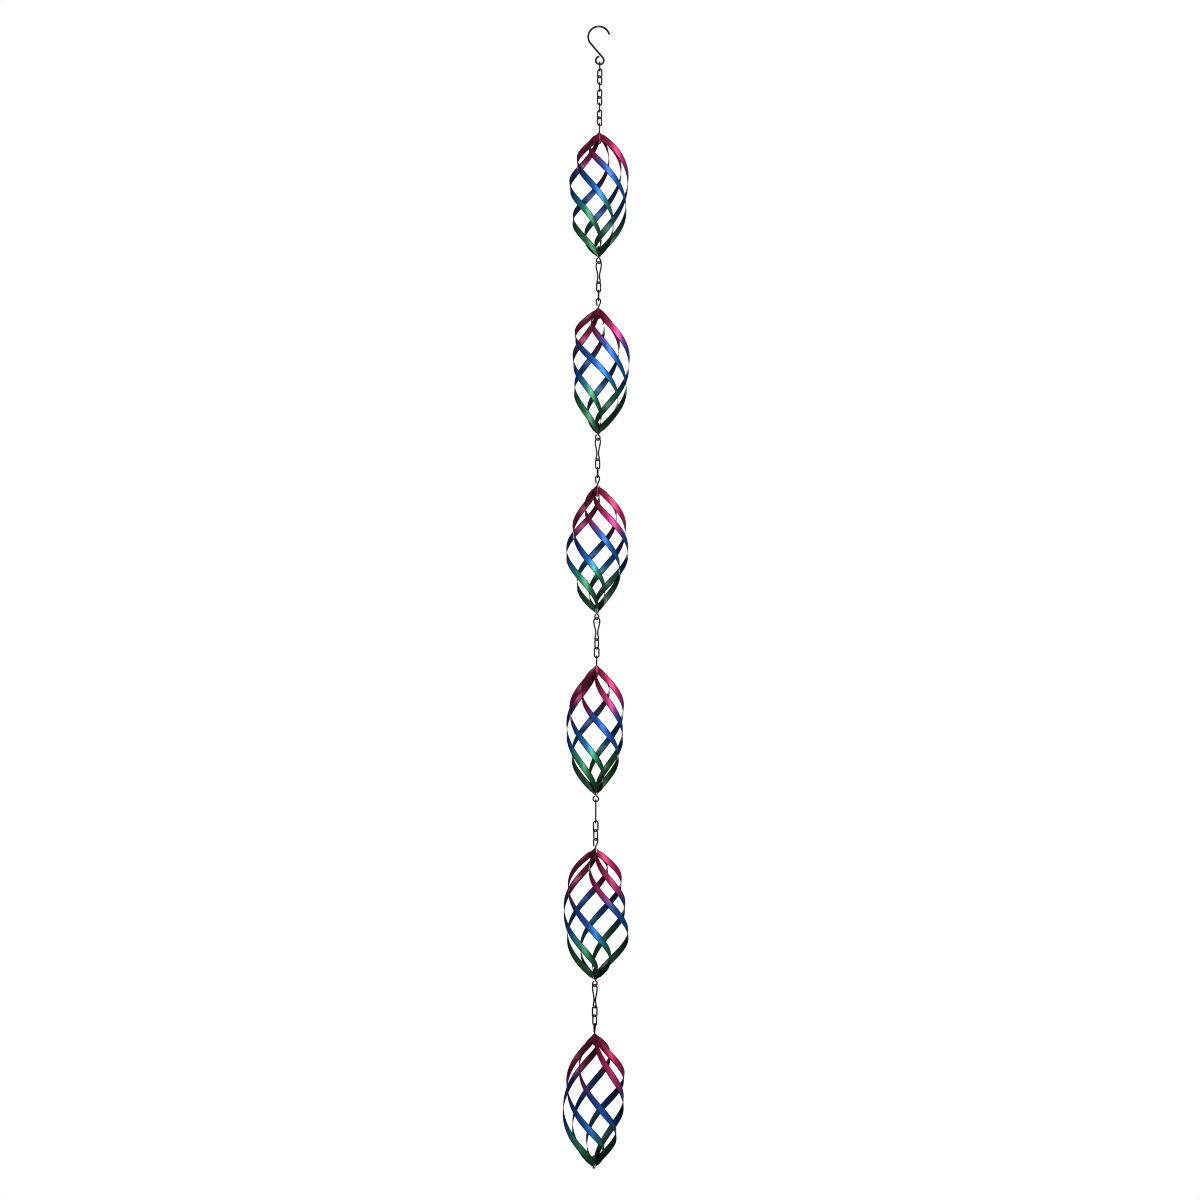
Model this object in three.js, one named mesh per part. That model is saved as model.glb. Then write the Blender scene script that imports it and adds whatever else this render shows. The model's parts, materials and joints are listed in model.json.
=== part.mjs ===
// A hanging wind spinner: six open spiral cages hung one below the other on chain, from a wire hook.
// Millimetres, +Z up. The origin is the inside of the hook's bend, on the line that the chain hangs in.
// Angles round that line are in degrees, 0 at the front (-Y) and growing towards the right (+X).
import * as THREE from "three";

const GAP = 0.3; // left between pieces that touch
const UP = new THREE.Vector3(0, 0, 1);

// Hook: an open bend, a straight slanted shank and a closed curl, all in the XZ plane
const HOOK_WIRE = 2.6;
const BEND_RADIUS = 14.5;
const BEND_OFFSET = -1.5;
const BEND_MOUTH_ANGLE = 12;
const CURL_RADIUS = 5.5;
const CURL_DROP = 46;
const CURL_END_ANGLE = -266;
const HOOK_SIDES = 8;

// Top chain: oval links, each turned a sixth of a turn from the one above
const TOP_LINKS = 9;
const TOP_LINK = { wire: 2.0, width: 8.4, length: 13.8 };
const FIRST_LINK_TURN = 90;
const LINK_TURN_STEP = 60;
const LINK_SIDES = 6;

// Connectors: below each cage but the last, a snap link and two oval links
const CONNECTOR_LINK = { wire: 2.0, width: 8.4, length: 15.7 };
const SNAP_WIRE = 2.0;
const SNAP_LENGTH = 30.1; // between the wire's centres
const SNAP_TOP_RADIUS = 4.3;
const SNAP_FOOT_RADIUS = 2.6;
const SNAP_WAIST = 1.35; // half the wires' spacing where the loop is pinched
const SNAP_WAIST_HEIGHT = 9.5;
const SNAP_FLARE = 5.5; // how far the curves above the waist keep their direction at either end
const SNAP_FOOT_FLARE = 3; // the same below it

// Eye pins: a wire eye outside the cage's tip, a shank through it and a ball-shaped head inside
const PIN_WIRE = 2.0;
const PIN_HEAD_RADIUS = 2.3;
const TOP_EYE_RADIUS = 3.2;
const TOP_EYE_REACH = 13.1; // from the cage's tip to the centre of the eye's outermost wire
const TOP_EYE_TAIL = { x: -2.4, y: 2.6 }; // where its wire ends, beside the shank
const BOTTOM_EYE_RADIUS = 3.6;
const BOTTOM_EYE_REACH = 8.35;
const BOTTOM_EYE_END = 252; // degrees round the eye
const PIN_SIDES = 8;
const RIVET_HEAD = { radius: 2.1, height: 1.0 }; // outside the last cage's tip

// Cages: six spiral arms, folded in pairs from three flat strips
const CAGE_HEIGHT = 171; // tip to tip
const STRIP_WIDTH = 8.3;
const STRIP_THICKNESS = 0.6;
const TURN_BELLY = 0.1; // share by which an arm winds faster half way down
const TOP_FULLNESS = 2.7; // how square-shouldered the outline is above and below its widest
const BOTTOM_FULLNESS = 2.4;
const EDGE_ROLL = 72; // degrees that the strip is rolled onto its edge at either tip
const HUB_RADIUS = 2.2; // where the arms end round the pin
const HUB_SHARE = 0.011; // share of the arm's drop at which its centre line comes out at that radius
const HUB_HEIGHT = 10.4; // of an arm's upright end
const FOLD_RADIUS = 2.05;
const FIRST_SHARE = 0.03; // where the arm's first full-width section is
const ARM_SPANS = 15;
const SLOPE_STEP = 0.002; // share of the drop over which an arm's direction is taken

// The arms of each cage, bent by hand, so no two are the same.
// Each is the degrees round the axis at which it passes half way down, the degrees that it winds
// from tip to tip, and how far out it stands at its widest.
const CAGES = [
  [[-70, 190, 40], [-14, 185, 39], [50, 235, 38], [126, 175, 41], [166, 180, 40], [216, 185, 41]],
  [[-66, 205, 34], [-4, 195, 44], [46, 185, 41], [108, 195, 42], [152, 210, 32], [230, 195, 34]],
  [[-96, 215, 41], [-44, 210, 34], [32, 225, 34], [84, 235, 41], [138, 190, 41], [184, 185, 42]],
  [[-44, 200, 37], [22, 220, 35], [80, 195, 35], [136, 180, 39], [206, 195, 39], [274, 175, 39]],
  [[-80, 215, 41], [-16, 165, 48], [48, 170, 47], [104, 210, 39], [162, 175, 45], [212, 190, 43]],
  [[-112, 205, 41], [-48, 235, 37], [16, 190, 38], [86, 160, 38], [136, 185, 42], [194, 185, 39]],
];

// How the wire pieces below each cage happen to hang: the turn of each one's own plane
const CONNECTORS = [
  { bottomEye: 35, snap: -35, links: [35, 95], topEye: 30 },
  { bottomEye: 32, snap: -36, links: [33, 97], topEye: 35 },
  { bottomEye: 45, snap: -22, links: [46, -20], topEye: 88 },
  { bottomEye: 0, snap: 90, links: [22, -42], topEye: 25 },
  { bottomEye: 35, snap: -45, links: [23, -43], topEye: 75 },
];
const FIRST_TOP_EYE = 90;

const darkWire = { color: "#2a1a1c", roughness: 0.45, metalness: 0.9 };
const paintedStrip = { color: "#2d5fb4", roughness: 0.35, metalness: 0.75 };

const spinner = new THREE.Group();

function addPiece(name, geometry, look) {
  const mesh = new THREE.Mesh(geometry, new THREE.MeshStandardMaterial(look));
  mesh.name = name;
  spinner.add(mesh);
}

// A closed surface through rings of points, each ring anticlockwise about the direction of travel
function loft(rings, isLoop) {
  const sides = rings[0].length;
  const spans = isLoop ? rings.length : rings.length - 1;
  const index = [];
  for (let i = 0; i < spans; i++) {
    const here = i * sides;
    const next = ((i + 1) % rings.length) * sides;
    for (let j = 0; j < sides; j++) {
      const k = (j + 1) % sides;
      index.push(here + j, here + k, next + k);
      index.push(here + j, next + k, next + j);
    }
  }
  const last = (rings.length - 1) * sides;
  for (let j = 1; j < sides - 1 && !isLoop; j++) {
    index.push(0, j + 1, j);
    index.push(last, last + j, last + j + 1);
  }
  const geometry = new THREE.BufferGeometry();
  geometry.setFromPoints(rings.flat());
  geometry.setIndex(index);
  geometry.computeVertexNormals();
  return geometry;
}

// A round wire along points of an upright plane through the chain's line.
// The plane is turned by the given angle, and each point's y is measured from the given height,
// upwards, or downwards when rise is -1. radii holds one radius for each point.
function wire(points, radii, { turn, height, rise = 1, sides, isLoop = false }) {
  const angle = THREE.MathUtils.degToRad(turn);
  const across = new THREE.Vector3(Math.cos(angle), Math.sin(angle), 0);
  const sideways = across.clone().cross(UP);
  const centres = points.map((p) =>
    across.clone().multiplyScalar(p.x).addScaledVector(UP, height + rise * p.y)
  );
  const count = centres.length;
  const rings = centres.map((centre, i) => {
    const before = centres[isLoop ? (i + count - 1) % count : Math.max(i - 1, 0)];
    const after = centres[isLoop ? (i + 1) % count : Math.min(i + 1, count - 1)];
    const along = after.clone().sub(before).normalize();
    const normal = sideways.clone().cross(along);
    return Array.from({ length: sides }, (_, j) => {
      const corner = (2 * Math.PI * (j + 0.5)) / sides;
      return centre
        .clone()
        .addScaledVector(normal, radii[i] * Math.cos(corner))
        .addScaledVector(sideways, radii[i] * Math.sin(corner));
    });
  });
  return loft(rings, isLoop);
}

function evenWire(points, diameter, placing) {
  return wire(points, points.map(() => diameter / 2), placing);
}

// ---- Hook ----

// The shank is the straight line that leaves the bend anticlockwise and meets the curl clockwise.
function hookGeometry() {
  const bend = new THREE.Vector2(BEND_OFFSET, HOOK_WIRE / 2 - BEND_RADIUS);
  const curl = new THREE.Vector2(0, -CURL_DROP);
  const apart = curl.clone().sub(bend);
  const shank = apart.angle() - 2 * Math.PI + Math.asin((BEND_RADIUS + CURL_RADIUS) / apart.length());
  const path = new THREE.Path();
  const mouth = THREE.MathUtils.degToRad(BEND_MOUTH_ANGLE);
  path.absarc(bend.x, bend.y, BEND_RADIUS, mouth, shank - Math.PI / 2 + 2 * Math.PI, false);
  const curlEnd = THREE.MathUtils.degToRad(CURL_END_ANGLE);
  path.absarc(curl.x, curl.y, CURL_RADIUS, shank + Math.PI / 2, curlEnd, true);
  return evenWire(path.getPoints(8), HOOK_WIRE, { turn: 0, height: 0, sides: HOOK_SIDES });
}

// ---- Links ----

function ovalPoints(link) {
  const radius = (link.width - link.wire) / 2;
  const straight = (link.length - link.width) / 2;
  const path = new THREE.Path();
  path.absarc(0, straight, radius, 0, Math.PI, false);
  path.absarc(0, -straight, radius, Math.PI, 2 * Math.PI, false);
  return path.getPoints(3);
}

// Places an oval link by the height of its top wire's centre, and returns that of its bottom wire.
function addOvalLink(name, link, turn, topHeight) {
  const reach = link.length - link.wire;
  const placing = { turn, height: topHeight - reach / 2, sides: LINK_SIDES, isLoop: true };
  addPiece(name, evenWire(ovalPoints(link), link.wire, placing), darkWire);
  return topHeight - reach;
}

// Adds a curve that leaves and arrives upright, keeping its direction for the given reach at each end
function addUprightCurve(path, reach, x, y) {
  const from = path.currentPoint;
  const pull = Math.sign(y - from.y) * reach;
  path.bezierCurveTo(from.x, from.y + pull, x, y - pull, x, y);
}

// A long pear-shaped loop, pinched to a waist above a small round foot
function snapPoints() {
  const shoulder = SNAP_LENGTH - SNAP_TOP_RADIUS;
  const path = new THREE.Path();
  path.absarc(0, shoulder, SNAP_TOP_RADIUS, 0, Math.PI, false);
  addUprightCurve(path, SNAP_FLARE, -SNAP_WAIST, SNAP_WAIST_HEIGHT);
  addUprightCurve(path, SNAP_FOOT_FLARE, -SNAP_FOOT_RADIUS, SNAP_FOOT_RADIUS);
  path.absarc(0, SNAP_FOOT_RADIUS, SNAP_FOOT_RADIUS, Math.PI, 2 * Math.PI, false);
  addUprightCurve(path, SNAP_FOOT_FLARE, SNAP_WAIST, SNAP_WAIST_HEIGHT);
  addUprightCurve(path, SNAP_FLARE, SNAP_TOP_RADIUS, shoulder);
  return path.getPoints(3).slice(0, -1);
}

function addSnapLink(name, turn, topHeight) {
  const height = topHeight - SNAP_LENGTH;
  const placing = { turn, height, sides: LINK_SIDES, isLoop: true };
  addPiece(name, evenWire(snapPoints(), SNAP_WIRE, placing), darkWire);
  return height;
}

// ---- Eye pins ----

// A pin's ball head and shank, from the head's far side outwards, as points and radii.
// Heights are from the cage's tip, outwards.
function headAndShank(headDepth, shankEnd) {
  const ball = [150, 120, 90, 60, 35].map((degrees) => {
    const angle = THREE.MathUtils.degToRad(degrees);
    return {
      y: PIN_HEAD_RADIUS * Math.cos(angle) - headDepth,
      radius: PIN_HEAD_RADIUS * Math.sin(angle),
    };
  });
  const neck = ball.at(-1).y;
  const shank = [neck + 0.2, shankEnd].map((y) => ({ y, radius: PIN_WIRE / 2 }));
  const steps = [...ball, ...shank];
  return {
    points: steps.map((step) => new THREE.Vector2(0, step.y)),
    radii: steps.map((step) => step.radius),
  };
}

function pin(headDepth, shankEnd, eye, placing) {
  const { points, radii } = headAndShank(headDepth, shankEnd);
  const eyePoints = eye ? eye.getPoints(4).slice(1) : [];
  const allRadii = [...radii, ...eyePoints.map(() => PIN_WIRE / 2)];
  return wire([...points, ...eyePoints], allRadii, { ...placing, sides: PIN_SIDES });
}

// The head's centre is as far inside the tip as keeps it clear of the arms' ends.
const TOP_HEAD_DEPTH = HUB_HEIGHT + 2.4;
const BOTTOM_HEAD_DEPTH = HUB_HEIGHT + 2.6;

// The top eye is a long loop whose wire comes back down beside the shank.
function addTopPin(name, turn, tipHeight) {
  const centre = TOP_EYE_REACH - TOP_EYE_RADIUS;
  const shankEnd = PIN_WIRE / 3;
  const eye = new THREE.Path();
  eye.moveTo(0, shankEnd);
  addUprightCurve(eye, centre / 3, TOP_EYE_RADIUS, centre);
  eye.absarc(0, centre, TOP_EYE_RADIUS, 0, Math.PI, false);
  addUprightCurve(eye, centre / 4, TOP_EYE_TAIL.x, TOP_EYE_TAIL.y);
  addPiece(name, pin(TOP_HEAD_DEPTH, shankEnd, eye, { turn, height: tipHeight }), darkWire);
}

function addBottomPin(name, turn, tipHeight) {
  const centre = BOTTOM_EYE_REACH - BOTTOM_EYE_RADIUS;
  const shankEnd = -PIN_WIRE / 2;
  const eye = new THREE.Path();
  eye.moveTo(0, shankEnd);
  addUprightCurve(eye, centre / 2, BOTTOM_EYE_RADIUS, centre);
  eye.absarc(0, centre, BOTTOM_EYE_RADIUS, 0, THREE.MathUtils.degToRad(BOTTOM_EYE_END), false);
  const placing = { turn, height: tipHeight, rise: -1 };
  addPiece(name, pin(BOTTOM_HEAD_DEPTH, shankEnd, eye, placing), darkWire);
}

// The last cage's tip is closed by a rivet with a ball head inside and a domed one outside.
function addTipRivet(name, tipHeight) {
  const { points, radii } = headAndShank(BOTTOM_HEAD_DEPTH, GAP);
  [90, 60, 25].forEach((degrees) => {
    const angle = THREE.MathUtils.degToRad(degrees);
    points.push(new THREE.Vector2(0, 2 * GAP + RIVET_HEAD.height * Math.cos(angle)));
    radii.push(RIVET_HEAD.radius * Math.sin(angle));
  });
  const placing = { turn: 0, height: tipHeight, rise: -1, sides: PIN_SIDES };
  addPiece(name, wire(points, radii, placing), darkWire);
}

// ---- Cages ----

function around(degrees) {
  const angle = THREE.MathUtils.degToRad(degrees);
  return new THREE.Vector3(Math.sin(angle), -Math.cos(angle), 0);
}

// Degrees round the axis at a share of the arm's drop, from 0 at the top tip to 1 at the bottom
function armAngle([middle, turn], share) {
  const past = share - 0.5;
  return middle + turn * (past + (TURN_BELLY * Math.sin(2 * Math.PI * past)) / (2 * Math.PI));
}

// The arm's centre line
function armCentre(arm, tip, share) {
  const fullness = share < 0.5 ? TOP_FULLNESS : BOTTOM_FULLNESS;
  const [, , widest] = arm;
  const radius = widest * (1 - Math.abs(2 * share - 1) ** fullness);
  const fall = (share - HUB_SHARE) / (1 - 2 * HUB_SHARE);
  const drop = HUB_HEIGHT / 2 + fall * (CAGE_HEIGHT - HUB_HEIGHT);
  return around(armAngle(arm, share)).multiplyScalar(radius).addScaledVector(UP, tip - drop);
}

// A cut through a strip: its centre, and the vectors to its left face and to its upper edge
function corners(centre, left, upper) {
  return [[1, 1], [-1, 1], [-1, -1], [1, -1]].map(([l, u]) =>
    centre.clone().addScaledVector(left, l).addScaledVector(upper, u)
  );
}

// The way that an arm's strip faces: outwards half way down, rolled towards its edge at either tip
function armFacing(arm, share) {
  return around(armAngle(arm, share) - EDGE_ROLL * (1 - 2 * share));
}

// side is 1 or -1, for the way round that the strip's outline is followed.
function armSection(arm, tip, share, side) {
  const along = armCentre(arm, tip, share + SLOPE_STEP)
    .sub(armCentre(arm, tip, share - SLOPE_STEP))
    .normalize();
  const out = armFacing(arm, share);
  out.addScaledVector(along, -out.dot(along)).normalize();
  const upper = out.clone().cross(along).multiplyScalar(STRIP_WIDTH / 2);
  return corners(armCentre(arm, tip, share), out.multiplyScalar(side * STRIP_THICKNESS / 2), upper);
}

// An arm's end is cut upright, beside the pin.
function endSection(arm, tip, share, side) {
  const hub = around(armAngle(arm, share)).multiplyScalar(HUB_RADIUS);
  hub.z = armCentre(arm, tip, share).z;
  const left = armFacing(arm, share).multiplyScalar(side * STRIP_THICKNESS / 2);
  return corners(hub, left, UP.clone().multiplyScalar(HUB_HEIGHT / 2));
}

// All the sections of one arm, from its top end to its bottom end
function armSections(arm, tip, side) {
  const sections = [endSection(arm, tip, HUB_SHARE, side)];
  for (let i = 0; i <= ARM_SPANS; i++) {
    const ease = (1 - Math.cos((Math.PI * i) / ARM_SPANS)) / 2;
    sections.push(armSection(arm, tip, FIRST_SHARE + (1 - 2 * FIRST_SHARE) * ease, side));
  }
  sections.push(endSection(arm, tip, 1 - HUB_SHARE, side));
  return sections;
}

// Up one arm, round the fold beside the pin, and down the next
function stripGeometry(first, second, tip) {
  const between = (armAngle(first, HUB_SHARE) + armAngle(second, HUB_SHARE)) / 2;
  const fold = around(between).multiplyScalar(FOLD_RADIUS);
  fold.z = tip - HUB_HEIGHT / 2;
  const inwards = around(between).multiplyScalar(-STRIP_THICKNESS / 2);
  const foldSection = corners(fold, inwards, UP.clone().multiplyScalar(HUB_HEIGHT / 2));
  const up = armSections(first, tip, 1).reverse();
  return loft([...up, foldSection, ...armSections(second, tip, -1)], false);
}

function addCage(name, arms, tip) {
  for (let i = 0; i < arms.length; i += 2) {
    addPiece(`${name}_strip_${i / 2 + 1}`, stripGeometry(arms[i], arms[i + 1], tip), paintedStrip);
  }
}

// ---- The whole string, from the hook down ----

// Height of the next piece's top wire when it hangs in a wire at the given height
function hangIn(wireHeight, wireDiameter, nextDiameter) {
  return wireHeight + (wireDiameter + nextDiameter) / 2 + GAP;
}

addPiece("hook", hookGeometry(), darkWire);
let height = -CURL_DROP - CURL_RADIUS;
let diameter = HOOK_WIRE;
for (let i = 0; i < TOP_LINKS; i++) {
  const turn = FIRST_LINK_TURN + LINK_TURN_STEP * i;
  height = addOvalLink(`top_link_${i + 1}`, TOP_LINK, turn, hangIn(height, diameter, TOP_LINK.wire));
  diameter = TOP_LINK.wire;
}

CAGES.forEach((arms, i) => {
  const number = i + 1;
  const topTurn = i === 0 ? FIRST_TOP_EYE : CONNECTORS[i - 1].topEye;
  const tip = hangIn(height, diameter, PIN_WIRE) - TOP_EYE_REACH;
  addTopPin(`top_pin_${number}`, topTurn, tip);
  addCage(`cage_${number}`, arms, tip);
  const bottomTip = tip - CAGE_HEIGHT;
  const connector = CONNECTORS[i];
  if (!connector) {
    addTipRivet("tip_rivet", bottomTip);
    return;
  }
  addBottomPin(`bottom_pin_${number}`, connector.bottomEye, bottomTip);
  const eyeWire = bottomTip - BOTTOM_EYE_REACH;
  height = addSnapLink(`snap_link_${number}`, connector.snap, hangIn(eyeWire, PIN_WIRE, SNAP_WIRE));
  diameter = SNAP_WIRE;
  connector.links.forEach((turn, j) => {
    const name = `connector_${number}_link_${j + 1}`;
    const topHeight = hangIn(height, diameter, CONNECTOR_LINK.wire);
    height = addOvalLink(name, CONNECTOR_LINK, turn, topHeight);
    diameter = CONNECTOR_LINK.wire;
  });
});

export default spinner;
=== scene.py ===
"""A hanging wind spinner: six cages of painted strip on chain, hung from a wire hook.

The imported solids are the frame. Each is replaced by a finer mesh of the same shape, made from the
same driving dimensions, with attributes that its paint or metal follows. Lengths are in metres
unless a name says otherwise, and angles round the hanging line are in degrees, 0 at the front (-Y)
and growing towards the right (+X).
"""

import json
import math

import bpy
import numpy as np
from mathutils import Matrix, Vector


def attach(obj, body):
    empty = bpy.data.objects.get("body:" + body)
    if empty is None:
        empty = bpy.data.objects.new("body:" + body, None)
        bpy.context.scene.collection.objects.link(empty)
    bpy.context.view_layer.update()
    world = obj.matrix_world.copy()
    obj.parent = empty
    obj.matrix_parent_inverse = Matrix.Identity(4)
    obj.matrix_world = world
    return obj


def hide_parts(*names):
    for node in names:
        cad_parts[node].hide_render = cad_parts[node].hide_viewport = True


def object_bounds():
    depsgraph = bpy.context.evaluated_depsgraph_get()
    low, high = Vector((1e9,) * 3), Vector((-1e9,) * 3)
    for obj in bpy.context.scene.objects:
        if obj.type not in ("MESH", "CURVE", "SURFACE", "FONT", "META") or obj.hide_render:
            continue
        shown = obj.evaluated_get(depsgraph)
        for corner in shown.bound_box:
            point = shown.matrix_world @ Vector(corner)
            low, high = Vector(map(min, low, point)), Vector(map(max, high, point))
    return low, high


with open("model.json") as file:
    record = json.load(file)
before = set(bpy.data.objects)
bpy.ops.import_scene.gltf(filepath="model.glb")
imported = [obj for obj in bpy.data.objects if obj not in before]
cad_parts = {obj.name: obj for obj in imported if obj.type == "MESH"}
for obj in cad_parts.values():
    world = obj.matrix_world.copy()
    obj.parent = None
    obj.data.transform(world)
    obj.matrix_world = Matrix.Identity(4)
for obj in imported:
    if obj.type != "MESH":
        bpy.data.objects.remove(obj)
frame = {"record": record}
cad_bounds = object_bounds()
scene = bpy.context.scene
MM = 0.001

# ---- Driving dimensions, as in the solids ----

GAP = 0.3 * MM

HOOK_WIRE = 2.6 * MM
BEND_RADIUS = 14.5 * MM
BEND_OFFSET = -1.5 * MM
BEND_MOUTH_ANGLE = 12
CURL_RADIUS = 5.5 * MM
CURL_DROP = 46 * MM
CURL_END_ANGLE = -266

TOP_LINKS = 9
TOP_LINK = {"wire": 2.0 * MM, "width": 8.4 * MM, "length": 13.8 * MM}
FIRST_LINK_TURN = 90
LINK_TURN_STEP = 60
CONNECTOR_LINK = {"wire": 2.0 * MM, "width": 8.4 * MM, "length": 15.7 * MM}

SNAP_WIRE = 2.0 * MM
SNAP_LENGTH = 30.1 * MM
SNAP_TOP_RADIUS = 4.3 * MM
SNAP_FOOT_RADIUS = 2.6 * MM
SNAP_WAIST = 1.35 * MM
SNAP_WAIST_HEIGHT = 9.5 * MM
SNAP_FLARE = 5.5 * MM
SNAP_FOOT_FLARE = 3 * MM

PIN_WIRE = 2.0 * MM
PIN_HEAD_RADIUS = 2.3 * MM
TOP_EYE_RADIUS = 3.2 * MM
TOP_EYE_REACH = 13.1 * MM
TOP_EYE_TAIL = (-2.4 * MM, 2.6 * MM)
BOTTOM_EYE_RADIUS = 3.6 * MM
BOTTOM_EYE_REACH = 8.35 * MM
BOTTOM_EYE_END = 252
RIVET_HEAD_RADIUS = 2.1 * MM
RIVET_HEAD_HEIGHT = 1.0 * MM

CAGE_HEIGHT = 171 * MM
STRIP_WIDTH = 8.3 * MM
STRIP_THICKNESS = 0.6 * MM
TURN_BELLY = 0.1
TOP_FULLNESS = 2.7
BOTTOM_FULLNESS = 2.4
EDGE_ROLL = 72
HUB_RADIUS = 2.2 * MM
HUB_SHARE = 0.011
HUB_HEIGHT = 10.4 * MM
FOLD_RADIUS = 2.05 * MM
FIRST_SHARE = 0.03
SLOPE_STEP = 0.002  # share of the drop over which an arm's direction is taken
TOP_HEAD_DEPTH = HUB_HEIGHT + 2.4 * MM
BOTTOM_HEAD_DEPTH = HUB_HEIGHT + 2.6 * MM

# The arms of each cage: where each passes half way down, how far it winds, and its widest in mm.
# A fitting program made these values, and they weren't chosen by hand.
CAGES = [
    [(-70, 190, 40), (-14, 185, 39), (50, 235, 38), (126, 175, 41), (166, 180, 40), (216, 185, 41)],
    [(-66, 205, 34), (-4, 195, 44), (46, 185, 41), (108, 195, 42), (152, 210, 32), (230, 195, 34)],
    [(-96, 215, 41), (-44, 210, 34), (32, 225, 34), (84, 235, 41), (138, 190, 41), (184, 185, 42)],
    [(-44, 200, 37), (22, 220, 35), (80, 195, 35), (136, 180, 39), (206, 195, 39), (274, 175, 39)],
    [(-80, 215, 41), (-16, 165, 48), (48, 170, 47), (104, 210, 39), (162, 175, 45), (212, 190, 43)],
    [(-112, 205, 41), (-48, 235, 37), (16, 190, 38), (86, 160, 38), (136, 185, 42), (194, 185, 39)],
]

# How the wire pieces below each cage hang: the turn of each one's own plane
CONNECTORS = [
    {"bottom_eye": 35, "snap": -35, "links": (35, 95), "top_eye": 30},
    {"bottom_eye": 32, "snap": -36, "links": (33, 97), "top_eye": 35},
    {"bottom_eye": 45, "snap": -22, "links": (46, -20), "top_eye": 88},
    {"bottom_eye": 0, "snap": 90, "links": (22, -42), "top_eye": 25},
    {"bottom_eye": 35, "snap": -45, "links": (23, -43), "top_eye": 75},
]
FIRST_TOP_EYE = 90

# ---- Fineness of the meshes ----

WIRE_SIDES = 20
WIRE_STEP = 0.35 * MM
STRIP_SPANS = 150
FACE_COLUMNS = 8
EDGE_STEPS = 4
FOLD_SPANS = 14
CAP_ANGLES = (78, 55, 30)  # the rings of a wire's domed end
HEAD_ANGLES = (172, 24)  # where the rings of a ball head start and end
HEAD_STEPS = 20
RIVET_ANGLES = (90, 8)
RIVET_STEPS = 12

# ---- Wear and spray ----

RUB_REACH = 0.9 * MM  # how far wear spreads from where two wires bear on each other
HOOK_FOOT_RUB = 1.5 * MM
HOOK_TOP_RUB = 1.2 * MM
WELD_REACH = 0.7 * MM
LINK_WELD = 0.06  # share by which the wire swells at a weld
SNAP_WELD = 0.05
ARM_SHIFT = 0.02  # how far one arm's bands may sit from its neighbours', as a share of the drop

# ---- Camera ----

# A program fitted the distance, height, pitch and focal length to the photo.
CAMERA_DISTANCE = 1.564
CAMERA_HEIGHT = -0.857
CAMERA_PITCH = 2.735
CAMERA_ROLL = -0.3
CAMERA_SIDE = 0.0045
FOCAL_SHARE = 0.9789  # focal length as a share of the picture's width
SENSOR_MM = 36
PIXEL_FILTER = 1.0

UP = np.array((0.0, 0.0, 1.0))
body_of = {
    node: body
    for body, nodes in frame["record"]["behaviour"]["bodies"].items()
    for node in nodes
}


def add_camera():
    camera = bpy.data.cameras.new("camera")
    camera.sensor_width = SENSOR_MM
    camera.lens = SENSOR_MM * FOCAL_SHARE
    camera.clip_end = 100
    holder = bpy.data.objects.new("camera", camera)
    scene.collection.objects.link(holder)
    holder.location = (CAMERA_SIDE, -CAMERA_DISTANCE, CAMERA_HEIGHT)
    holder.rotation_euler = (math.radians(90 + CAMERA_PITCH), math.radians(CAMERA_ROLL), 0)
    scene.camera = holder


add_camera()


# ---- Materials ----


class Nodes:
    """Short calls for building one material's nodes."""

    def __init__(self, name):
        self.material = bpy.data.materials.new(name)
        self.material.use_nodes = True
        self.tree = self.material.node_tree
        self.shader = self.tree.nodes["Principled BSDF"]

    def add(self, kind, **settings):
        node = self.tree.nodes.new(kind)
        for key, value in settings.items():
            setattr(node, key, value)
        return node

    def put(self, socket, value):
        """Links a socket's source, or sets a plain value."""
        if isinstance(value, bpy.types.NodeSocket):
            self.tree.links.new(value, socket)
        else:
            socket.default_value = value

    def attribute(self, name, output="Fac"):
        return self.add("ShaderNodeAttribute", attribute_name=name).outputs[output]

    def math(self, operation, first, second):
        node = self.add("ShaderNodeMath", operation=operation)
        for socket, value in zip(node.inputs, (first, second)):
            self.put(socket, value)
        return node.outputs[0]

    def stretch(self, vector, scale):
        node = self.add("ShaderNodeVectorMath", operation="MULTIPLY")
        self.put(node.inputs[0], vector)
        node.inputs[1].default_value = scale
        return node.outputs[0]

    def noise(self, vector, scale, detail, roughness=0.5):
        node = self.add("ShaderNodeTexNoise")
        self.put(node.inputs["Vector"], vector)
        node.inputs["Scale"].default_value = scale
        node.inputs["Detail"].default_value = detail
        node.inputs["Roughness"].default_value = roughness
        return node.outputs["Fac"]

    def range(self, value, low, high, to_low=0.0, to_high=1.0):
        node = self.add("ShaderNodeMapRange")
        for name, number in (
            ("From Min", low),
            ("From Max", high),
            ("To Min", to_low),
            ("To Max", to_high),
        ):
            node.inputs[name].default_value = number
        self.put(node.inputs["Value"], value)
        return node.outputs["Result"]

    def mix(self, share, first, second):
        node = self.add("ShaderNodeMix", data_type="RGBA")
        self.put(node.inputs[0], share)
        self.put(node.inputs[6], first)
        self.put(node.inputs[7], second)
        return node.outputs[2]

    def ramp(self, value, stops):
        node = self.add("ShaderNodeValToRGB")
        ramp = node.color_ramp
        ramp.interpolation = "B_SPLINE"
        while len(ramp.elements) < len(stops):
            ramp.elements.new(1.0)
        for element, (place, colour) in zip(ramp.elements, stops):
            element.position = place
            element.color = linear(colour)
        self.put(node.inputs["Fac"], value)
        return node.outputs["Color"]

    def bump(self, height, distance, normal=None):
        node = self.add("ShaderNodeBump")
        node.inputs["Strength"].default_value = 1.0
        node.inputs["Distance"].default_value = distance
        self.put(node.inputs["Height"], height)
        if normal:
            self.put(node.inputs["Normal"], normal)
        return node.outputs["Normal"]


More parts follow.
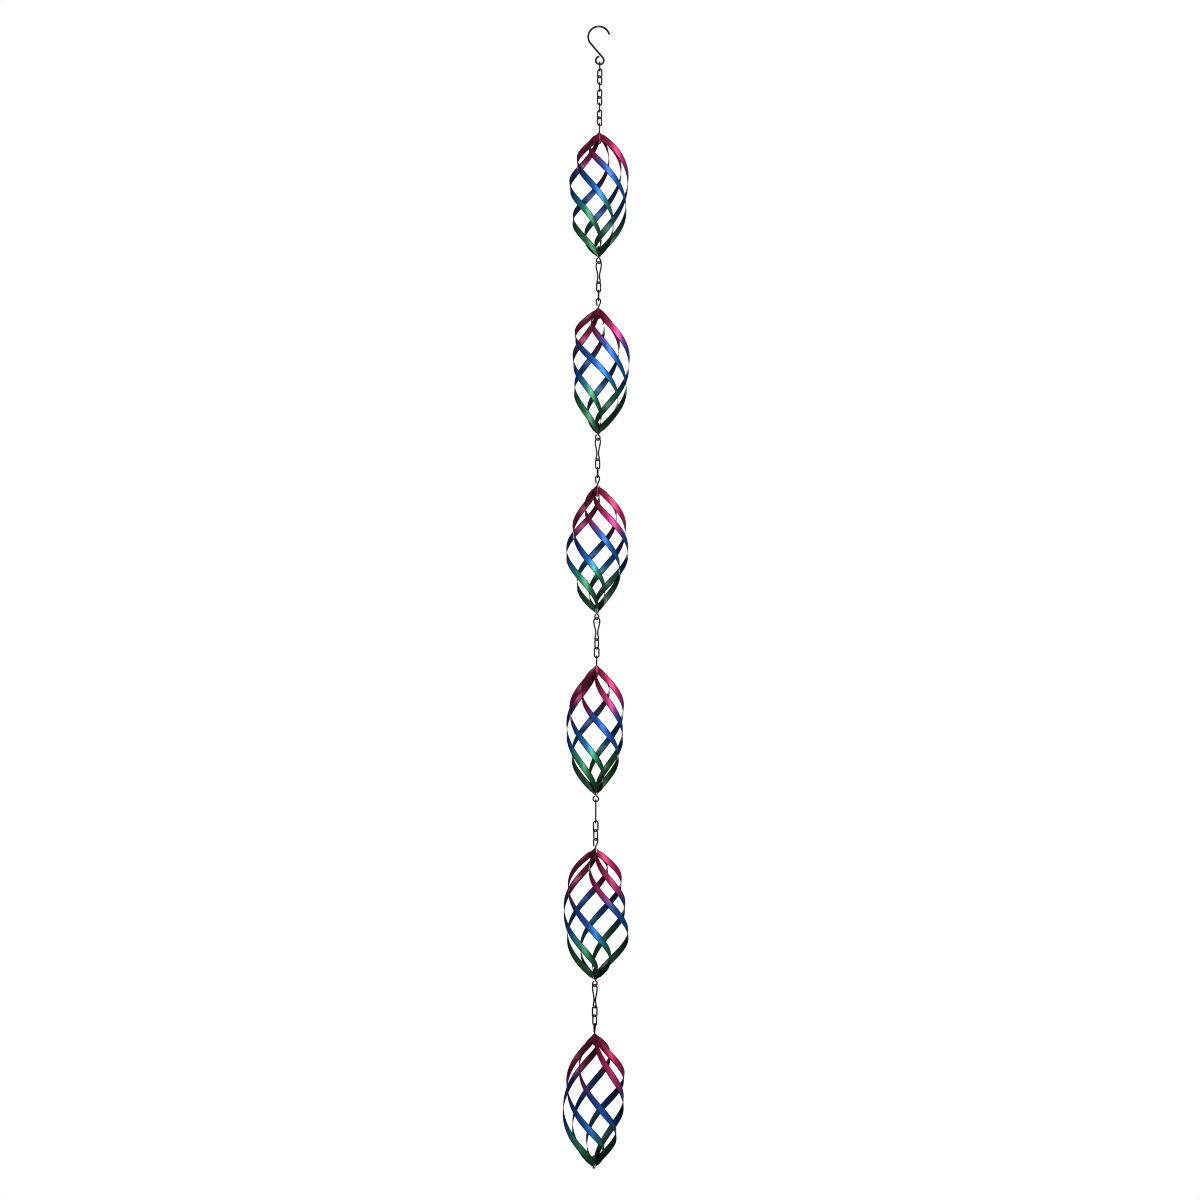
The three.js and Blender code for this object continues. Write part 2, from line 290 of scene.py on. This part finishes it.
def linear(colour):
    """A linear colour from its hex form."""
    channels = [int(colour[i : i + 2], 16) / 255 for i in (1, 3, 5)]
    curve = [c / 12.92 if c <= 0.04045 else ((c + 0.055) / 1.055) ** 2.4 for c in channels]
    return (*curve, 1.0)


# The sprayed colours by height, from a cage's top tip (0) to its bottom tip (1)
SPRAY = [
    (0.00, "#8a1a40"),
    (0.09, "#a81c50"),
    (0.20, "#b52262"),
    (0.29, "#aa2c74"),
    (0.32, "#763a86"),
    (0.35, "#184b9c"),
    (0.44, "#08489c"),
    (0.57, "#0e5cac"),
    (0.62, "#166c9c"),
    (0.66, "#1c7a76"),
    (0.70, "#237452"),
    (0.80, "#24653f"),
    (1.00, "#1c4832"),
]
BLUE_BAND = (0.33, 0.66)  # where it starts and ends in SPRAY

# Where each cage's own blue band starts and ends, much as a program read them from the photo
CAGE_BANDS = [(0.28, 0.66), (0.31, 0.66), (0.37, 0.67), (0.33, 0.66), (0.36, 0.66), (0.38, 0.74)]


def make_paint():
    """Satin metallic paint, sprayed on in bands that blend, with painted shade on its inner faces and
    in a dark band along its edges.
    """
    m = Nodes("strip_paint")
    place = m.attribute("strip_place", "Vector")
    blotch = m.noise(place, 45.0, 2.0)
    mist = m.noise(place, 2600.0, 2.0)
    drop = m.math("ADD", m.attribute("drop"), m.attribute("spray_shift"))
    drop = m.math("ADD", drop, m.range(blotch, 0.3, 0.7, -0.02, 0.02))
    drop = m.math("ADD", drop, m.range(mist, 0.3, 0.7, -0.01, 0.01))
    colour = m.ramp(drop, SPRAY)

    grain = m.noise(m.stretch(place, (0.12, 1.0, 1.0)), 1500.0, 5.0, 0.6)
    colour = m.mix(m.range(grain, 0.3, 0.7, 0.0, 0.2), colour, linear("#05060a"))
    cloud = m.noise(place, 160.0, 3.0)
    colour = m.mix(m.range(cloud, 0.35, 0.7, 0.0, 0.22), colour, linear("#0a0a10"))
    # Painted shade: the faces turned in towards the cage's middle are mixed towards near-black.
    colour = m.mix(m.math("MULTIPLY", m.attribute("inner_face_shade"), 0.65), colour, linear("#050508"))

    # Painted shade: a dark band along both edges of the strip reaches in over the faces, its border
    # wavering with noise, and the band is also rougher.
    edge_jitter = m.noise(place, 900.0, 4.0, 0.65)
    edge = m.math("ADD", m.attribute("edge_share"), m.range(edge_jitter, 0.3, 0.7, -0.05, 0.05))
    edge_shade = m.range(edge, 0.66, 0.9, 0.0, 0.92)
    colour = m.mix(edge_shade, colour, linear("#0d0609"))
    m.put(m.shader.inputs["Base Color"], colour)

    rough = m.math("ADD", m.range(grain, 0.25, 0.75, 0.42, 0.54), m.math("MULTIPLY", edge_shade, 0.15))
    m.put(m.shader.inputs["Roughness"], rough)
    m.shader.inputs["Metallic"].default_value = 0.72
    m.shader.inputs["Specular IOR Level"].default_value = 0.3
    m.shader.inputs["Coat Weight"].default_value = 0.1
    m.shader.inputs["Coat Roughness"].default_value = 0.36

    crown = m.math("MULTIPLY", m.attribute("edge_share"), m.attribute("edge_share"))
    normal = m.bump(m.math("MULTIPLY", crown, -1.0), 0.0004)
    normal = m.bump(m.noise(place, 1100.0, 2.0), 0.00006, normal=normal)
    normal = m.bump(grain, 0.00003, normal=normal)
    m.put(m.shader.inputs["Normal"], normal)
    return m.material


def make_dark_wire(name, coat, light):
    """Dark bronze finish on wire, a little worn where pieces bear on each other.

    The parts of a pin inside its cage were sprayed along with the strips."""
    m = Nodes(name)
    place = m.attribute("wire_place", "Vector")
    blotch = m.noise(place, 350.0, 4.0, 0.6)
    colour = m.mix(m.range(blotch, 0.35, 0.65), linear(coat), linear(light))
    speck = m.noise(place, 2400.0, 3.0, 0.7)
    colour = m.mix(m.range(speck, 0.62, 0.75, 0.0, 0.4), colour, linear("#4a2f2c"))
    scrape = m.noise(m.stretch(place, (0.25, 1.0, 1.0)), 2200.0, 4.0, 0.6)
    rubbed = m.math("MULTIPLY", m.attribute("rub"), m.range(scrape, 0.42, 0.62, 0.0, 0.7))
    colour = m.mix(rubbed, colour, linear("#5d5450"))
    spray = m.ramp(m.attribute("drop"), SPRAY)
    colour = m.mix(m.attribute("sprayed"), colour, m.mix(0.35, spray, linear("#0d0609")))
    m.put(m.shader.inputs["Base Color"], colour)
    m.put(m.shader.inputs["Roughness"], m.range(blotch, 0.3, 0.7, 0.36, 0.5))
    m.shader.inputs["Metallic"].default_value = 0.5
    m.shader.inputs["Specular IOR Level"].default_value = 0.22
    drawn = m.noise(m.stretch(place, (0.08, 1.0, 1.0)), 2600.0, 3.0)
    normal = m.bump(drawn, 0.00004)
    normal = m.bump(speck, 0.00003, normal=normal)
    m.put(m.shader.inputs["Normal"], normal)
    return m.material


PAINT = make_paint()
WIRE_MATERIALS = {
    "hook_wire": make_dark_wire("hook_finish", "#0a0405", "#150a0d"),
    "link_wire": make_dark_wire("link_finish", "#0e0306", "#200810"),
    "pin_wire": make_dark_wire("pin_finish", "#0e0306", "#1e080f"),
}


# ---- Meshes ----


def add_loft(node, rings, closed, attributes, material):
    """A closed surface through rings of points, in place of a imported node, on that node's body.

    attributes maps a name to one number, or one vector, for each point of each ring."""
    count, sides, _ = rings.shape
    spans = count if closed else count - 1
    faces = []
    for i in range(spans):
        here = i * sides
        after = (i + 1) % count * sides
        for j in range(sides):
            k = (j + 1) % sides
            faces.append((here + j, here + k, after + k, after + j))
    if not closed:
        faces.append(tuple(reversed(range(sides))))
        faces.append(tuple(range((count - 1) * sides, count * sides)))
    mesh = bpy.data.meshes.new(node + "_fine")
    mesh.from_pydata(rings.reshape(-1, 3).tolist(), [], faces)
    mesh.polygons.foreach_set("use_smooth", [True] * len(mesh.polygons))
    for name, values in attributes.items():
        values = np.asarray(values, np.float32).reshape(count * sides, -1)
        if values.shape[1] == 3:
            layer = mesh.attributes.new(name, "FLOAT_VECTOR", "POINT")
            layer.data.foreach_set("vector", values.ravel())
        else:
            layer = mesh.attributes.new(name, "FLOAT", "POINT")
            layer.data.foreach_set("value", values.ravel())
    mesh.materials.append(material)
    piece = bpy.data.objects.new(node + "_fine", mesh)
    scene.collection.objects.link(piece)
    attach(piece, body_of[node])
    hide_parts(node)


def unit(vector):
    return vector / np.linalg.norm(vector, axis=-1, keepdims=True)


def around(degrees):
    angle = np.radians(degrees)
    return np.stack([np.sin(angle), -np.cos(angle), np.zeros_like(angle)], -1)


# ---- Wires ----


def nearness(distance, reach):
    """1 where the distance is nothing, falling smoothly towards 0 past the reach."""
    return np.exp(-((distance / reach) ** 2))


def arc(centre, radius, start, end):
    """Points along an arc, from one angle in degrees to another."""
    steps = max(3, math.ceil(abs(math.radians(end - start)) * radius / WIRE_STEP))
    angles = np.radians(np.linspace(start, end, steps + 1))
    return [(centre[0] + radius * math.cos(a), centre[1] + radius * math.sin(a)) for a in angles]


def upright_curve(start, reach, end):
    """A curve that leaves and arrives upright, without its first point."""
    pull = math.copysign(reach, end[1] - start[1])
    handles = (start, (start[0], start[1] + pull), (end[0], end[1] - pull), end)
    steps = math.ceil(math.dist(start, end) * 1.15 / WIRE_STEP)
    points = []
    for i in range(1, steps + 1):
        t = i / steps
        weights = ((1 - t) ** 3, 3 * t * (1 - t) ** 2, 3 * t * t * (1 - t), t**3)
        points.append(tuple(sum(w * h[axis] for w, h in zip(weights, handles)) for axis in (0, 1)))
    return points


def straight(start, end):
    """Points along a line, without its first."""
    steps = max(1, math.ceil(math.dist(start, end) / WIRE_STEP))
    return [
        tuple(start[axis] + (end[axis] - start[axis]) * i / steps for axis in (0, 1))
        for i in range(1, steps + 1)
    ]


def add_wire(node, points, radii, turn, height, slot, rise=1, closed=False, worn=None):
    """A round wire along points of an upright plane through the hanging line.

    Each point's y is measured from the given height, upwards, or downwards when rise is -1.
    worn maps an attribute's name to its value at each point."""
    flat = np.array(points)
    radii = np.asarray(radii, float)
    angle = math.radians(turn)
    across = np.array((math.cos(angle), math.sin(angle), 0.0))
    sideways = np.cross(across, UP)
    centres = flat[:, :1] * across + (height + rise * flat[:, 1:]) * UP
    if closed:
        along = unit(np.roll(centres, -1, 0) - np.roll(centres, 1, 0))
    else:
        along = unit(np.gradient(centres, axis=0))
    normal = np.cross(sideways, along)
    corner = 2 * math.pi * (np.arange(WIRE_SIDES) + 0.5) / WIRE_SIDES
    spread = (
        normal[:, None, :] * np.cos(corner)[None, :, None]
        + sideways[None, None, :] * np.sin(corner)[None, :, None]
    )
    rings = centres[:, None, :] + radii[:, None, None] * spread
    run = np.concatenate([[0], np.cumsum(np.linalg.norm(np.diff(centres, axis=0), axis=1))])
    seed = sum(map(ord, node)) * 0.013
    place = np.zeros(rings.shape)
    place[..., 0] = run[:, None] + seed
    place[..., 1] = radii[:, None] * np.cos(corner)[None, :]
    place[..., 2] = radii[:, None] * np.sin(corner)[None, :]
    attributes = {"wire_place": place}
    for name, values in (worn or {}).items():
        attributes[name] = np.repeat(values[:, None], WIRE_SIDES, 1)
    add_loft(node, rings, closed, attributes, WIRE_MATERIALS[slot])


def rounded_ends(points, radius):
    """The points with a domed cap added at each end, and the radius at each point."""
    caps = np.radians(CAP_ANGLES)
    flat = np.array(points)
    first = unit(flat[0] - flat[1])
    last = unit(flat[-1] - flat[-2])
    head = [flat[0] + first * radius * (math.sin(a) - 1) for a in caps]
    tail = [flat[-1] + last * radius * (math.sin(a) - 1) for a in caps[::-1]]
    middle = [
        p
        for p in flat
        if math.dist(p, flat[0]) > radius and math.dist(p, flat[-1]) > radius
    ]
    cap_radii = [radius * math.cos(a) for a in caps]
    all_points = np.array([*head, *middle, *tail])
    all_radii = np.array([*cap_radii, *[radius] * len(middle), *cap_radii[::-1]])
    return all_points, all_radii


def add_hook():
    bend = (BEND_OFFSET, HOOK_WIRE / 2 - BEND_RADIUS)
    curl = (0.0, -CURL_DROP)
    apart = (curl[0] - bend[0], curl[1] - bend[1])
    reach = math.hypot(*apart)
    slope = math.atan2(apart[1], apart[0]) + math.asin((BEND_RADIUS + CURL_RADIUS) / reach)
    slope = math.degrees(slope)
    points = arc(bend, BEND_RADIUS, BEND_MOUTH_ANGLE, slope - 90 + 360)
    lower = arc(curl, CURL_RADIUS, slope + 90, CURL_END_ANGLE)
    points = points + straight(points[-1], lower[0]) + lower[1:]
    centres, radii = rounded_ends(points, HOOK_WIRE / 2)
    low = -CURL_DROP - CURL_RADIUS
    rub = nearness(centres[:, 1] - low, HOOK_FOOT_RUB)
    rub = rub + nearness(centres[:, 1] - HOOK_WIRE / 2, HOOK_TOP_RUB)
    add_wire("hook", centres, radii, 0, 0, "hook_wire", worn={"rub": rub})


def weld_bulge(points, place, size):
    """The share by which a closed link's wire swells at its weld, at each of its points."""
    away = np.linalg.norm(np.array(points) - np.array(place), axis=1)
    return 1 + size * nearness(away, WELD_REACH)


def add_oval_link(node, link, turn, top_height):
    radius = (link["width"] - link["wire"]) / 2
    side = (link["length"] - link["width"]) / 2
    reach = link["length"] - link["wire"]
    upper = arc((0, side), radius, 0, 180)
    lower = arc((0, -side), radius, 180, 360)
    points = upper + straight(upper[-1], lower[0]) + lower[1:] + straight(lower[-1], upper[0])[:-1]
    flat = np.array(points)
    radii = link["wire"] / 2 * weld_bulge(points, (radius, 0.0), LINK_WELD)
    rub = nearness(np.abs(flat[:, 1]) - reach / 2, RUB_REACH)
    height = top_height - reach / 2
    add_wire(node, flat, radii, turn, height, "link_wire", closed=True, worn={"rub": rub})
    return top_height - reach


def add_snap_link(node, turn, top_height):
    shoulder = SNAP_LENGTH - SNAP_TOP_RADIUS
    top = arc((0, shoulder), SNAP_TOP_RADIUS, 0, 180)
    waist_left = (-SNAP_WAIST, SNAP_WAIST_HEIGHT)
    waist_right = (SNAP_WAIST, SNAP_WAIST_HEIGHT)
    foot = arc((0, SNAP_FOOT_RADIUS), SNAP_FOOT_RADIUS, 180, 360)
    points = (
        top
        + upright_curve(top[-1], SNAP_FLARE, waist_left)
        + upright_curve(waist_left, SNAP_FOOT_FLARE, foot[0])
        + foot[1:]
        + upright_curve(foot[-1], SNAP_FOOT_FLARE, waist_right)
        + upright_curve(waist_right, SNAP_FLARE, top[0])[:-1]
    )
    flat = np.array(points)
    radii = SNAP_WIRE / 2 * weld_bulge(points, waist_right, SNAP_WELD)
    rub = nearness(flat[:, 1], RUB_REACH) + nearness(flat[:, 1] - SNAP_LENGTH, RUB_REACH)
    height = top_height - SNAP_LENGTH
    add_wire(node, flat, radii, turn, height, "link_wire", closed=True, worn={"rub": rub})
    return height


def head_and_shank(head_depth, shank_end):
    """A pin's ball head and shank, from the head's far side outwards, as points and radii."""
    points = []
    radii = []
    for degrees in np.linspace(*HEAD_ANGLES, HEAD_STEPS):
        angle = math.radians(degrees)
        points.append((0.0, PIN_HEAD_RADIUS * math.cos(angle) - head_depth))
        radii.append(max(PIN_HEAD_RADIUS * math.sin(angle), PIN_WIRE / 2 if degrees < 90 else 0))
    shank = straight(points[-1], (0.0, shank_end))
    return points + shank, radii + [PIN_WIRE / 2] * len(shank)


def pin_spray(outwards, rise):
    """How much spray reached a pin, and at what share of the cage's height, at each of its points."""
    drop = -outwards / CAGE_HEIGHT
    return {
        "sprayed": np.clip(0.6 - outwards / (1.5 * MM), 0, 1),
        "drop": drop if rise > 0 else 1 - drop,
    }


def add_pin(node, points, radii, eye, turn, height, rise):
    """Adds the eye's wire, with a domed end, to a head and shank."""
    ended, end_radii = rounded_ends([points[-1], *eye], PIN_WIRE / 2)
    caps = len(CAP_ANGLES)
    points = np.array([*points, *ended[caps:]])
    radii = np.array([*radii, *end_radii[caps:]])
    outermost = points[:, 1].max()
    worn = {
        "rub": nearness(points[:, 1] - outermost, RUB_REACH),
        **pin_spray(points[:, 1], rise),
    }
    add_wire(node, points, radii, turn, height, "pin_wire", rise=rise, worn=worn)


def add_top_pin(node, turn, tip):
    centre = TOP_EYE_REACH - TOP_EYE_RADIUS
    shank_end = (0.0, PIN_WIRE / 3)
    points, radii = head_and_shank(TOP_HEAD_DEPTH, shank_end[1])
    eye = upright_curve(shank_end, centre / 3, (TOP_EYE_RADIUS, centre))
    eye += arc((0, centre), TOP_EYE_RADIUS, 0, 180)[1:]
    eye += upright_curve(eye[-1], centre / 4, TOP_EYE_TAIL)
    add_pin(node, points, radii, eye, turn, tip, 1)


def add_bottom_pin(node, turn, tip):
    centre = BOTTOM_EYE_REACH - BOTTOM_EYE_RADIUS
    shank_end = (0.0, -PIN_WIRE / 2)
    points, radii = head_and_shank(BOTTOM_HEAD_DEPTH, shank_end[1])
    eye = upright_curve(shank_end, centre / 2, (BOTTOM_EYE_RADIUS, centre))
    eye += arc((0, centre), BOTTOM_EYE_RADIUS, 0, BOTTOM_EYE_END)[1:]
    add_pin(node, points, radii, eye, turn, tip, -1)


def add_tip_rivet(node, tip):
    points, radii = head_and_shank(BOTTOM_HEAD_DEPTH, GAP)
    for degrees in np.linspace(*RIVET_ANGLES, RIVET_STEPS):
        angle = math.radians(degrees)
        points.append((0.0, 2 * GAP + RIVET_HEAD_HEIGHT * math.cos(angle)))
        radii.append(RIVET_HEAD_RADIUS * math.sin(angle))
    outwards = np.array(points)[:, 1] - 2 * RIVET_HEAD_HEIGHT
    add_wire(node, points, radii, 0, tip, "pin_wire", rise=-1, worn=pin_spray(outwards, -1))


# ---- Cages ----


def arm_angle(arm, share):
    past = share - 0.5
    return arm[0] + arm[1] * (past + TURN_BELLY * np.sin(2 * np.pi * past) / (2 * np.pi))


def arm_centre(arm, tip, share):
    fullness = np.where(share < 0.5, TOP_FULLNESS, BOTTOM_FULLNESS)
    radius = arm[2] * MM * (1 - np.abs(2 * share - 1) ** fullness)
    fall = (share - HUB_SHARE) / (1 - 2 * HUB_SHARE)
    drop = HUB_HEIGHT / 2 + fall * (CAGE_HEIGHT - HUB_HEIGHT)
    return around(arm_angle(arm, share)) * radius[:, None] + UP * (tip - drop)[:, None]


def arm_frames(arm, tip, side):
    """Centres, left-hand normals and upper half-widths down one arm.

    The strip faces outwards half way down, rolls onto its edge towards either tip, and ends
    upright beside the pin. side is 1 or -1, for the way round that the outline is followed."""
    ease = (1 - np.cos(np.pi * np.linspace(0, 1, STRIP_SPANS + 1))) / 2
    share = HUB_SHARE + (1 - 2 * HUB_SHARE) * ease
    centre = arm_centre(arm, tip, share)
    facing = around(arm_angle(arm, share) - EDGE_ROLL * (1 - 2 * share))
    below = arm_centre(arm, tip, share + SLOPE_STEP)
    above = arm_centre(arm, tip, share - SLOPE_STEP)
    along = unit(below - above)
    out = unit(facing - along * np.sum(facing * along, 1, keepdims=True))
    upper = np.cross(out, along) * STRIP_WIDTH / 2

    # Near its ends the strip stands upright, and starts at the hub's radius.
    near = np.minimum(share - HUB_SHARE, 1 - HUB_SHARE - share) / (FIRST_SHARE - HUB_SHARE)
    near = np.clip(near, 0, 1)[:, None]
    hub = around(arm_angle(arm, share)) * HUB_RADIUS
    hub[:, 2] = centre[:, 2]
    centre = hub * (1 - near) + centre * near
    out = unit(facing * (1 - near) + out * near)
    upper = UP * HUB_HEIGHT / 2 * (1 - near) + upper * near
    return centre, side * out, upper


def fold_frames(first, second, tip):
    """The frames of the fold round the pin, from the first arm's top end to the second's."""
    share = np.linspace(0, 1, FOLD_SPANS + 1)[1:-1]
    start, end = (arm_angle(arm, HUB_SHARE) for arm in (first, second))
    swell = (2 * share - 1) ** 2
    radius = FOLD_RADIUS * (1 - swell) + HUB_RADIUS * swell
    centre = around(start + (end - start) * share) * radius[:, None]
    along = unit(np.gradient(centre, axis=0))
    left = np.cross(UP, along)
    centre = centre + UP * (tip - HUB_HEIGHT / 2)
    upper = np.repeat(UP[None] * HUB_HEIGHT / 2, len(centre), 0)
    return centre, left, upper


def strip_outline():
    """The strip's cross-section: shares of its half-width, and distances from its middle plane."""
    half = STRIP_THICKNESS / 2
    flat = 1 - STRIP_THICKNESS / STRIP_WIDTH
    outline = []
    for i in range(EDGE_STEPS + 1):
        angle = math.pi * (0.5 - i / EDGE_STEPS)
        bulge = math.cos(angle) * STRIP_THICKNESS / STRIP_WIDTH
        outline.append((flat + bulge, math.sin(angle) * half))
    for i in range(1, FACE_COLUMNS):
        outline.append((flat * (1 - 2 * i / FACE_COLUMNS), -half))
    for i in range(EDGE_STEPS + 1):
        angle = math.pi * (1.5 - i / EDGE_STEPS)
        bulge = math.cos(angle) * STRIP_THICKNESS / STRIP_WIDTH
        outline.append((-flat + bulge, math.sin(angle) * half))
    for i in range(1, FACE_COLUMNS):
        outline.append((-flat * (1 - 2 * i / FACE_COLUMNS), half))
    return np.array(outline)


def add_strip(node, first, second, tip, band, random):
    up = [part[::-1] for part in arm_frames(first, tip, 1)]
    fold = fold_frames(first, second, tip)
    down = arm_frames(second, tip, -1)
    centre, left, upper = (np.concatenate(parts) for parts in zip(up, fold, down))
    outline = strip_outline()
    rings = (
        centre[:, None, :]
        + upper[:, None, :] * outline[None, :, :1]
        + left[:, None, :] * outline[None, :, 1:2]
    )
    count, sides = rings.shape[:2]
    run = np.concatenate([[0], np.cumsum(np.linalg.norm(np.diff(centre, axis=0), axis=1))])
    place = np.zeros(rings.shape)
    place[..., 0] = run[:, None] + random.uniform(0, 10)
    place[..., 1] = outline[None, :, 0] * STRIP_WIDTH / 2
    place[..., 2] = outline[None, :, 1]
    lengths = [len(part[0]) for part in (up, fold, down)]
    outwards = np.repeat((1.0, 0.0, -1.0), lengths)
    # How far each point lies on the face turned in towards the cage's middle, which the paint darkens
    # as painted shade.
    inner = np.clip(-outline[None, :, 1] * outwards[:, None] / (STRIP_THICKNESS / 2), 0, 1)
    first_shift = random.uniform(-ARM_SHIFT, ARM_SHIFT)
    second_shift = random.uniform(-ARM_SHIFT, ARM_SHIFT)
    shift = np.repeat((first_shift, 0.0, second_shift), lengths)
    drop = (tip - rings[..., 2]) / CAGE_HEIGHT
    attributes = {
        "strip_place": place,
        "drop": np.interp(drop, (0, *band, 1), (0, *BLUE_BAND, 1)),
        "edge_share": np.repeat(np.abs(outline[None, :, 0]), count, 0),
        "inner_face_shade": inner,
        "spray_shift": np.repeat(shift[:, None], sides, 1),
    }
    add_loft(node, rings, False, attributes, PAINT)


def add_cage(name, arms, tip, band, random):
    for i in range(0, len(arms), 2):
        add_strip(f"{name}_strip_{i // 2 + 1}", arms[i], arms[i + 1], tip, band, random)


# ---- The whole string, from the hook down ----


def hang_in(wire_height, wire, next_wire):
    """Height of the next piece's top wire when it hangs in a wire at the given height."""
    return wire_height + (wire + next_wire) / 2 + GAP


def add_string():
    random = np.random.default_rng(5)
    add_hook()
    height = -CURL_DROP - CURL_RADIUS
    wire = HOOK_WIRE
    for i in range(TOP_LINKS):
        turn = FIRST_LINK_TURN + LINK_TURN_STEP * i
        top_height = hang_in(height, wire, TOP_LINK["wire"])
        height = add_oval_link(f"top_link_{i + 1}", TOP_LINK, turn, top_height)
        wire = TOP_LINK["wire"]
    for i, arms in enumerate(CAGES):
        number = i + 1
        top_turn = CONNECTORS[i - 1]["top_eye"] if i else FIRST_TOP_EYE
        tip = hang_in(height, wire, PIN_WIRE) - TOP_EYE_REACH
        add_top_pin(f"top_pin_{number}", top_turn, tip)
        add_cage(f"cage_{number}", arms, tip, CAGE_BANDS[i], random)
        bottom_tip = tip - CAGE_HEIGHT
        if i == len(CONNECTORS):
            add_tip_rivet("tip_rivet", bottom_tip)
            return
        connector = CONNECTORS[i]
        add_bottom_pin(f"bottom_pin_{number}", connector["bottom_eye"], bottom_tip)
        eye_wire = bottom_tip - BOTTOM_EYE_REACH
        top_height = hang_in(eye_wire, PIN_WIRE, SNAP_WIRE)
        height = add_snap_link(f"snap_link_{number}", connector["snap"], top_height)
        wire = SNAP_WIRE
        for j, turn in enumerate(connector["links"]):
            top_height = hang_in(height, wire, CONNECTOR_LINK["wire"])
            name = f"connector_{number}_link_{j + 1}"
            height = add_oval_link(name, CONNECTOR_LINK, turn, top_height)
            wire = CONNECTOR_LINK["wire"]


add_string()


# ---- Stage and light ----

FLOOR_CLEARANCE = 0.09
FLOOR_HEIGHT = cad_bounds[0][2] - FLOOR_CLEARANCE
FLOOR_RADIUS = 15.0  # past the dome's foot, so that no gap shows between them
FLOOR_SIDES = 96
DOME_RADIUS = 14.0
DOME_SIDES = 64
DOME_LEVELS = 20
WORLD_STRENGTH = 0.07

# Each soft light: its name, its place, what it points at, its width and height, and its watts
LIGHTS = [
    ("key", (0.65, -1.7, -0.45), (0, 0, -0.75), (0.7, 2.0), 68),
    ("top", (0.5, -1.3, 0.6), (0, 0, -0.4), (0.6, 0.6), 9),
    ("fill", (-1.5, -1.7, -0.7), (0, 0, -0.8), (0.9, 2.0), 9),
    ("back", (-0.3, 1.9, -0.5), (0, 0, -0.8), (1.2, 2.0), 50),
]


def make_pale():
    """The floor and backdrop glow evenly, so that they stay plain white behind the thin wires."""
    m = Nodes("pale_stage")
    m.shader.inputs["Base Color"].default_value = (0, 0, 0, 1)
    m.shader.inputs["Specular IOR Level"].default_value = 0
    m.shader.inputs["Emission Color"].default_value = (1, 1, 1, 1)
    m.shader.inputs["Emission Strength"].default_value = 1.0
    return m.material


def show_to_camera_only(thing):
    """The stage is lit by itself and adds nothing to the light on the spinner."""
    thing.visible_diffuse = False
    thing.visible_glossy = False
    thing.visible_transmission = False
    thing.visible_shadow = False


def circle(radius, height, sides):
    """Points of a level ring round the hanging line."""
    turns = [2 * math.pi * i / sides for i in range(sides)]
    return [(radius * math.cos(turn), radius * math.sin(turn), height) for turn in turns]


def add_stage_piece(name, points, faces, material):
    mesh = bpy.data.meshes.new(name)
    mesh.from_pydata(points, [], faces)
    mesh.materials.append(material)
    piece = bpy.data.objects.new(name, mesh)
    scene.collection.objects.link(piece)
    show_to_camera_only(piece)


def add_floor(material):
    ring = circle(FLOOR_RADIUS, FLOOR_HEIGHT, FLOOR_SIDES)
    add_stage_piece("floor", ring, [tuple(range(FLOOR_SIDES))], material)


def add_backdrop(material):
    """A dome over the floor, seen by the camera only."""
    points = []
    for i in range(DOME_LEVELS):
        lift = math.pi / 2 * i / DOME_LEVELS
        height = FLOOR_HEIGHT + DOME_RADIUS * math.sin(lift)
        points += circle(DOME_RADIUS * math.cos(lift), height, DOME_SIDES)
    faces = []
    for i in range(DOME_LEVELS - 1):
        here = i * DOME_SIDES
        above = here + DOME_SIDES
        for j in range(DOME_SIDES):
            k = (j + 1) % DOME_SIDES
            faces.append((here + j, above + j, above + k, here + k))
    top = (DOME_LEVELS - 1) * DOME_SIDES
    faces.append(tuple(range(top, top + DOME_SIDES)))
    add_stage_piece("backdrop", points, faces, material)


def add_world():
    world = bpy.data.worlds.new("studio")
    world.use_nodes = True
    scene.world = world
    background = world.node_tree.nodes["Background"]
    background.inputs["Color"].default_value = (1, 1, 1, 1)
    background.inputs["Strength"].default_value = WORLD_STRENGTH


def add_softbox(name, place, aim, size, power):
    light = bpy.data.lights.new(name, "AREA")
    light.shape = "RECTANGLE"
    light.size, light.size_y = size
    light.energy = power
    holder = bpy.data.objects.new(name, light)
    scene.collection.objects.link(holder)
    holder.location = place
    direction = Vector(aim) - Vector(place)
    holder.rotation_euler = direction.to_track_quat("-Z", "Y").to_euler()


pale = make_pale()
add_floor(pale)
add_backdrop(pale)
add_world()
for light in LIGHTS:
    add_softbox(*light)

scene.view_settings.view_transform = "Standard"
scene.cycles.filter_width = PIXEL_FILTER
